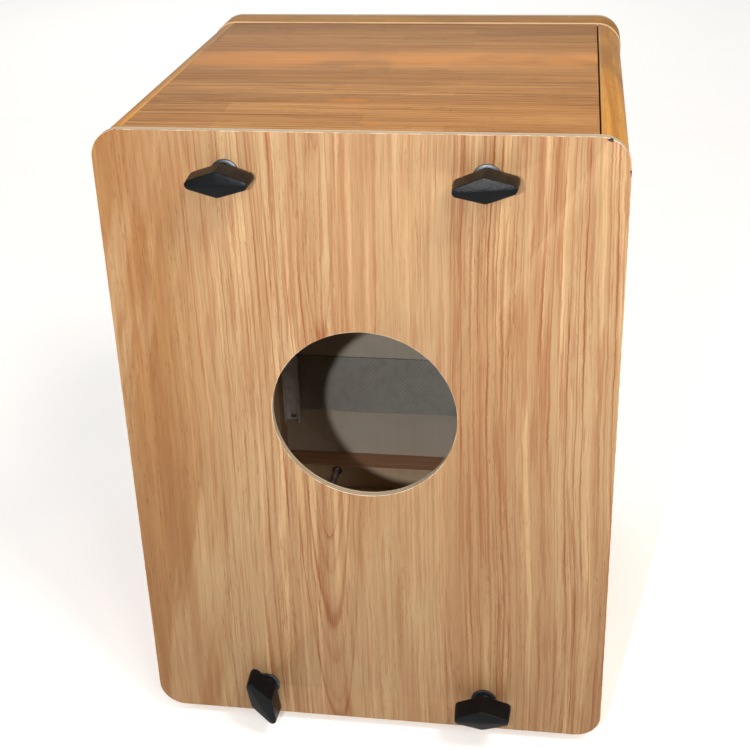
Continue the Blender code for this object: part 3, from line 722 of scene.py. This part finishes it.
def thread(name, place, low, high, material, radius=0.003, pitch=0.001, depth=0.00055):
    """A threaded length of rod. Its radius follows the helix, which fades at both ends."""
    steps, rows_a_turn, fade_rows = 24, 4, 6
    rows = round((high - low) / pitch * rows_a_turn)
    bm = bmesh.new()
    grid = []
    for row in range(rows + 1):
        height = low + (high - low) * row / rows
        fade = min(1.0, row / fade_rows, (rows - row) / fade_rows)
        ring = []
        for step in range(steps):
            turn = step / steps
            wave = abs(((height / pitch - turn) % 1.0) * 2 - 1)
            r = radius - depth * wave * fade - depth * (1 - fade) * 0.4
            angle = turn * 2 * math.pi
            ring.append(bm.verts.new((r * math.cos(angle), r * math.sin(angle), height)))
        grid.append(ring)
    for low_ring, high_ring in zip(grid, grid[1:]):
        for step in range(steps):
            after = (step + 1) % steps
            bm.faces.new((low_ring[step], low_ring[after], high_ring[after], high_ring[step]))
    bm.faces.new(list(reversed(grid[0])))
    bm.faces.new(grid[-1])
    piece = new_piece(name, mesh_from(bm, name, place), material)
    smooth(piece, 40.0)
    return piece


KNOB_TURN = {"top_left": 0.0, "top_right": 4.3, "bottom_left": -64.0, "bottom_right": 3.0}
KNOB_EASE = 0.0013
# Profiles of (radius, height over the panel's face).
HUB_PROFILE = [
    (0.0035, 0.0066), (0.0070, 0.0066), (0.0071, 0.0046), (0.0074, 0.0042),
    (0.0074, 0.0028), (0.0068, 0.0023), (0.0055, 0.0023), (0.0035, 0.0026),
]
BUSH_PROFILE = [(0.0033, 0.0036), (0.0046, 0.0036), (0.0048, 0.0030), (0.0046, 0.0021), (0.0033, 0.0021)]
WASHER_PROFILE = [
    (0.0034, 0.00175), (0.0037, 0.0019), (0.0084, 0.0019), (0.0089, 0.0016), (0.0090, 0.0011),
    (0.0089, 0.0005), (0.0086, 0.0003), (0.0034, 0.0003),
]
SHANK_RADIUS = 0.00295
# How far the rod is threaded at its frame end and at its knob end.
FRAME_END_THREAD = 0.045
KNOB_END_THREAD = 0.012
THREAD_OVERLAP = 0.0001


def insert_profile(length):
    """A sleeve with a chamfered mouth, a groove under its head and a chamfered end."""
    return [
        (0.0038, 0.0), (0.0041, -0.0001), (0.0043, -0.0004), (0.0043, -0.0030), (0.0040, -0.0034),
        (0.0043, -0.0038), (0.0043, -length + 0.0006), (0.0039, -length), (0.0033, -length),
        (0.0033, -0.0005),
    ]


def clamp_sets():
    """At each corner: the knob with its hub and bush, the washer, the tie rod and its insert."""
    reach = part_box("clamp_knob_top_left")[1][1] - REAR_FACE
    for corner in CORNERS:
        body = f"knob_and_rod_{corner}"
        centre = middle(f"knob_washer_{corner}")
        place = at((centre.x, REAR_FACE, centre.z), TO_PLUS_Y)
        turned_place = place @ Matrix.Rotation(math.radians(KNOB_TURN[corner]), 4, "Z")

        grip = new_piece(f"knob_grip_{corner}", knob_mesh(f"knob_grip_{corner}", reach), PLASTIC)
        bevel(grip, KNOB_EASE, segments=5, degrees=28)
        grip.data.transform(turned_place)
        smooth(grip, 50.0)
        finish_piece(grip, body, "black_plastic", f"clamp_knob_{corner}")
        hub = turned(f"knob_hub_{corner}", HUB_PROFILE, turned_place, PLASTIC, ring=True)
        finish_piece(hub, body, "black_plastic")
        bush = turned(f"knob_bush_{corner}", BUSH_PROFILE, turned_place, BRASS, ring=True)
        finish_piece(bush, body, "zinc_steel")
        washer = turned(f"washer_{corner}", WASHER_PROFILE, place, WASHER, steps=64, ring=True)
        finish_piece(washer, f"washer_{corner}", "zinc_steel", f"knob_washer_{corner}")

        low, high = (point[1] - REAR_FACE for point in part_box(f"tie_rod_{corner}"))
        shank_low, shank_high = low + FRAME_END_THREAD, high - KNOB_END_THREAD
        shank_profile = [
            (0.0, shank_high), (SHANK_RADIUS, shank_high), (SHANK_RADIUS, shank_low), (0.0, shank_low),
        ]
        shank = turned(f"rod_shank_{corner}", shank_profile, place, ZINC, steps=28)
        finish_piece(shank, body, "zinc_steel", f"tie_rod_{corner}")
        tail = thread(f"rod_thread_{corner}", place, low, shank_low + THREAD_OVERLAP, ZINC)
        finish_piece(tail, body, "zinc_steel")
        head = thread(f"rod_head_thread_{corner}", place, shank_high - THREAD_OVERLAP, high, ZINC)
        finish_piece(head, body, "zinc_steel")

        low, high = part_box(f"threaded_insert_{corner}")
        mouth = at((centre.x, high[1], centre.z), TO_PLUS_Y)
        profile = insert_profile(high[1] - low[1])
        insert = turned(f"insert_{corner}", profile, mouth, DARK_STEEL, ring=True)
        finish_piece(insert, CARCASS, "dark_steel", f"threaded_insert_{corner}")


# ---------------------------------------------------------------- screws and feet


RECESS_TURN = 0.4


def cross_recess(piece, place, size, depth):
    """Cut a cross into a screw's head: two bars, each shorter and narrower at the bottom."""
    for quarter in (0, 1):
        bm = bmesh.new()
        bmesh.ops.create_cube(bm, size=1.0)
        for vert in bm.verts:
            deep = vert.co.z < 0
            vert.co.x *= size * (0.45 if deep else 1.0)
            vert.co.y *= size * (0.16 if deep else 0.24)
            vert.co.z *= 2 * depth
        cut_away(piece, bm, place @ Matrix.Rotation(math.pi / 2 * quarter + RECESS_TURN, 4, "Z"))
    smooth(piece)


def countersunk_profile(length):
    """A wood screw under a flat head. The thread is a row of sharp ridges down the shank."""
    profile = [(0.0, 0.0), (0.0026, 0.0), (0.0029, -0.0002), (0.0028, -0.0005), (0.0014, -0.0017)]
    ridge = -0.0040
    while ridge > -length + 0.0030:
        profile += [(0.00115, ridge), (0.0015, ridge - 0.0004), (0.00115, ridge - 0.0008)]
        ridge -= 0.0011
    return profile + [(0.0, -length)]


def domed_profile(length):
    """The small screws of the snare clamps, with domed heads."""
    return [
        (0.0, 0.0), (0.0009, -0.0001), (0.0017, -0.0004), (0.0023, -0.0010), (0.0024, -0.0017),
        (0.0012, -0.0017), (0.0012, -length + 0.0006), (0.0, -length),
    ]


def foot_screw_profile(length):
    """The screw with a domed head that holds a foot."""
    return [
        (0.0, 0.0), (0.0014, -0.0001), (0.0029, -0.0006), (0.0039, -0.0014), (0.0040, -0.0026),
        (0.0019, -0.0026), (0.0019, -length + 0.0030), (0.0, -length),
    ]


def screws():
    """The screws round the tapa, then those of the snare clamps, each with a cross in its head."""
    kinds = (
        # (start of the name, the end its head is at, direction, profile, recess size, recess depth)
        ("tapa_screw", 0, TO_MINUS_Y, countersunk_profile, 0.0030, 0.0011),
        ("snare_clamp_screw", 1, TO_PLUS_Y, domed_profile, 0.0026, 0.0009),
    )
    for start, head_end, turn, profile, size, depth in kinds:
        for node in sorted(nodes):
            if node.startswith(start):
                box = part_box(node)
                centre = middle(node)
                place = at((centre.x, box[head_end][1], centre.z), turn)
                length = box[1][1] - box[0][1]
                screw = turned(f"{node}_detail", profile(length), place, ZINC, steps=28)
                cross_recess(screw, place, size, depth)
                finish_piece(screw, CARCASS, "zinc_steel", node)


def foot_profile(top):
    """A rubber foot from its top down: a groove near the top, a flared side and a hollow for the screw."""
    return [
        (0.0022, top), (0.0119, top), (0.0125, top - 0.0004), (0.0132, top - 0.0034),
        (0.0129, top - 0.0038), (0.0133, top - 0.0042), (0.0139, 0.0014), (0.0140, 0.0008),
        (0.0137, 0.0002), (0.0131, 0.0), (0.0060, 0.0), (0.0054, 0.0003), (0.0052, 0.0009),
        (0.0052, 0.0045), (0.0022, 0.0045),
    ]


def feet():
    for foot in FEET:
        centre = middle(f"rubber_foot_{foot}")
        floor = at((centre.x, centre.y, 0.0), Matrix.Identity(4))
        profile = foot_profile(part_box(f"rubber_foot_{foot}")[1][2])
        rubber = turned(f"foot_{foot}", profile, floor, RUBBER, steps=56, ring=True)
        finish_piece(rubber, CARCASS, "black_rubber", f"rubber_foot_{foot}")
        low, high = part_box(f"foot_screw_{foot}")
        head = at((centre.x, centre.y, low[2]), Matrix.Rotation(math.pi, 4, "X"))
        profile = foot_screw_profile(high[2] - low[2])
        screw = turned(f"foot_screw_{foot}_detail", profile, head, ZINC, steps=32)
        cross_recess(screw, head, 0.0044, 0.0014)
        finish_piece(screw, CARCASS, "zinc_steel", f"foot_screw_{foot}")


# ---------------------------------------------------------------- snare


WIRE_PITCH = 0.0014
WIRE_RADIUS = 0.00026
CUT_EDGE_RADIUS = 0.00045
CUT_EDGE_STEPS = 240
# The angles, in radians, of the three corners of a wire's section.
TRIANGLE = (0.5, 2.6, 4.7)


def wire_line(bm, path, half):
    """A three-sided wire through the points of a path. half is the triangle's corners round each point."""
    before = None
    for point in path:
        ring = [bm.verts.new(point + offset) for offset in half]
        if before:
            for i in range(3):
                j = (i + 1) % 3
                bm.faces.new((before[i], before[j], ring[j], ring[i]))
        else:
            bm.faces.new(ring[::-1])
        before = ring
    bm.faces.new(before)


def snare():
    """A plain weave of thin wires between two clamps, with a thicker, slightly ragged cut edge on top."""
    low, high = (Vector(corner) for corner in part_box("snare_mesh"))
    wire = WIRE_RADIUS
    middle_y = (low.y + high.y) / 2
    columns = round((high.x - low.x) / WIRE_PITCH)
    rows = round((high.z - low.z) / WIRE_PITCH)
    bm = bmesh.new()

    def weave(x_index, z_index, over):
        x = low.x + wire + (high.x - low.x - 2 * wire) * x_index / columns
        z = low.z + wire + (high.z - low.z - 2 * wire) * z_index / rows
        crossing = 1 if (round(x_index) + round(z_index)) % 2 else -1
        side = crossing * over * (wire * 0.85)
        return Vector((x, middle_y + side, z))

    across = [Vector((math.cos(t) * wire, math.sin(t) * wire, 0)) for t in TRIANGLE]
    upright = [Vector((0, math.sin(t) * wire, math.cos(t) * wire)) for t in reversed(TRIANGLE)]
    for column in range(columns + 1):
        wire_line(bm, [weave(column, row, 1) for row in range(rows + 1)], across)
    for row in range(rows + 1):
        wire_line(bm, [weave(column, row, -1) for column in range(columns + 1)], upright)
    bmesh.ops.recalc_face_normals(bm, faces=bm.faces)
    wires = new_piece("snare_wires", mesh_from(bm, "snare_wires"), WIRE)
    wires.data.shade_smooth()
    finish_piece(wires, CARCASS, "mesh_steel", "snare_mesh")

    bm = bmesh.new()
    edge = CUT_EDGE_RADIUS
    path = []
    for step in range(CUT_EDGE_STEPS + 1):
        x = low.x + edge + (high.x - low.x - 2 * edge) * step / CUT_EDGE_STEPS
        ragged = 0.00012 * math.sin(step * 1.9) + 0.00010 * math.sin(step * 0.73 + 1.0)
        path.append(Vector((x, high.y - edge * 0.6, high.z - edge + ragged)))
    wire_line(bm, path, [Vector((0, math.sin(t) * edge, math.cos(t) * edge)) for t in reversed(TRIANGLE)])
    bmesh.ops.recalc_face_normals(bm, faces=bm.faces)
    # the cut edge's darker grey is partly painted shade along the mesh's top
    cut_edge = new_piece("snare_cut_edge", mesh_from(bm, "snare_cut_edge"), SELVAGE_PARTLY_PAINTED_SHADE)
    finish_piece(cut_edge, CARCASS, "mesh_steel")
    for side in ("left", "right"):
        clamp = f"snare_clamp_{side}"
        eased_copy(clamp, CARCASS, "channel_aluminium", (CHANNEL_PAINTED_REFLECTION,), one_material, CLAMP_EASE, segments=2)


# ---------------------------------------------------------------- floor, lights and camera


FLOOR_HALF_SIZE = 20.0
FLOOR_GLOW = 0.22
SKY_COLOUR = (1.0, 0.99, 0.975, 1.0)
SKY_STRENGTH = 0.50
# (name, place, side length, watts, colour)
SOFT_LIGHTS = (
    ("key", (-0.9, 0.85, 1.9), 0.55, 22.0, (1.0, 0.91, 0.79)),
    ("side_key", (-0.65, 1.40, 1.25), 0.30, 5.0, (1.0, 0.93, 0.84)),
    ("fill", (1.9, 1.3, 1.3), 1.8, 4.0, (1.0, 0.97, 0.93)),
    ("front_fill", (0.6, -2.4, 1.6), 2.0, 16.0, (1.0, 0.97, 0.93)),
)
LIGHT_TARGET = (0.0, 0.0, 0.22)
FLASH_PLACE = (-0.008, 0.853, 0.640)
FLASH_TARGET = (0.0, 0.1455, 0.25)
FLASH_WATTS = 16.5
FLASH_RADIUS = 0.009
FLASH_DEGREES = 74
CAMERA_PLACE = (-0.1253, 0.8514, 0.6695)
CAMERA_DEGREES = {"yaw": 8.9033, "pitch": 25.3082, "roll": -1.7721}
CAMERA_LENS = 61.69
CAMERA_SENSOR = 36.0
CAMERA_SHIFT = (-0.0112, -0.0790)


def stage():
    """A plain pale floor that glows a little, under an even, nearly white sky."""
    look = Look("floor_look")
    speckle = look.noise(look.place, scale=9.0, detail=3.0)
    look.set("Base Color", look.mix(speckle, (0.88, 0.88, 0.88, 1.0), (0.92, 0.92, 0.92, 1.0)))
    look.set("Roughness", 0.75)
    look.set("Emission Color", (1.0, 1.0, 1.0, 1.0))
    look.set("Emission Strength", FLOOR_GLOW)
    bm = bmesh.new()
    bmesh.ops.create_grid(bm, x_segments=1, y_segments=1, size=FLOOR_HALF_SIZE)
    floor = new_piece("floor", mesh_from(bm, "floor"), look.material)

    world = bpy.data.worlds.new("studio")
    bpy.context.scene.world = world
    world.use_nodes = True
    background = world.node_tree.nodes["Background"]
    background.inputs["Color"].default_value = SKY_COLOUR
    background.inputs["Strength"].default_value = SKY_STRENGTH


def aim(lamp, place, target):
    bpy.context.scene.collection.objects.link(lamp)
    lamp.location = place
    lamp.rotation_euler = (Vector(target) - Vector(place)).to_track_quat("-Z", "Y").to_euler()


def lights():
    """Two warm soft keys high on one side, weak fills, and a small neutral flash beside the camera."""
    for name, place, size, watts, colour in SOFT_LIGHTS:
        light = bpy.data.lights.new(name, "AREA")
        light.size = size
        light.energy = watts
        light.color = colour
        aim(bpy.data.objects.new(name, light), place, LIGHT_TARGET)
    flash = bpy.data.lights.new("flash", "SPOT")
    flash.energy = FLASH_WATTS
    flash.shadow_soft_size = FLASH_RADIUS
    flash.spot_size = math.radians(FLASH_DEGREES)
    flash.spot_blend = 0.9
    aim(bpy.data.objects.new("flash", flash), FLASH_PLACE, FLASH_TARGET)


def camera():
    """The standing photographer's view down onto the rear panel."""
    yaw, pitch, roll = (math.radians(CAMERA_DEGREES[name]) for name in ("yaw", "pitch", "roll"))
    level = math.cos(pitch)
    forward = Vector((math.sin(yaw) * level, -math.cos(yaw) * level, -math.sin(pitch)))
    level_right = forward.cross(Vector((0, 0, 1))).normalized()
    level_up = level_right.cross(forward)
    right = math.cos(roll) * level_right + math.sin(roll) * level_up
    up = -math.sin(roll) * level_right + math.cos(roll) * level_up
    data = bpy.data.cameras.new("camera")
    data.lens = CAMERA_LENS
    data.sensor_width = CAMERA_SENSOR
    data.shift_x, data.shift_y = CAMERA_SHIFT
    data.clip_start = 0.01
    eye = bpy.data.objects.new("camera", data)
    bpy.context.scene.collection.objects.link(eye)
    turn = Matrix((right, up, -forward)).transposed().to_4x4()
    eye.matrix_world = Matrix.Translation(CAMERA_PLACE) @ turn
    bpy.context.scene.camera = eye


rear_panel()
carcass_boards()
clamp_sets()
screws()
feet()
snare()
stage()
lights()
camera()
bpy.context.scene.view_settings.view_transform = "Standard"
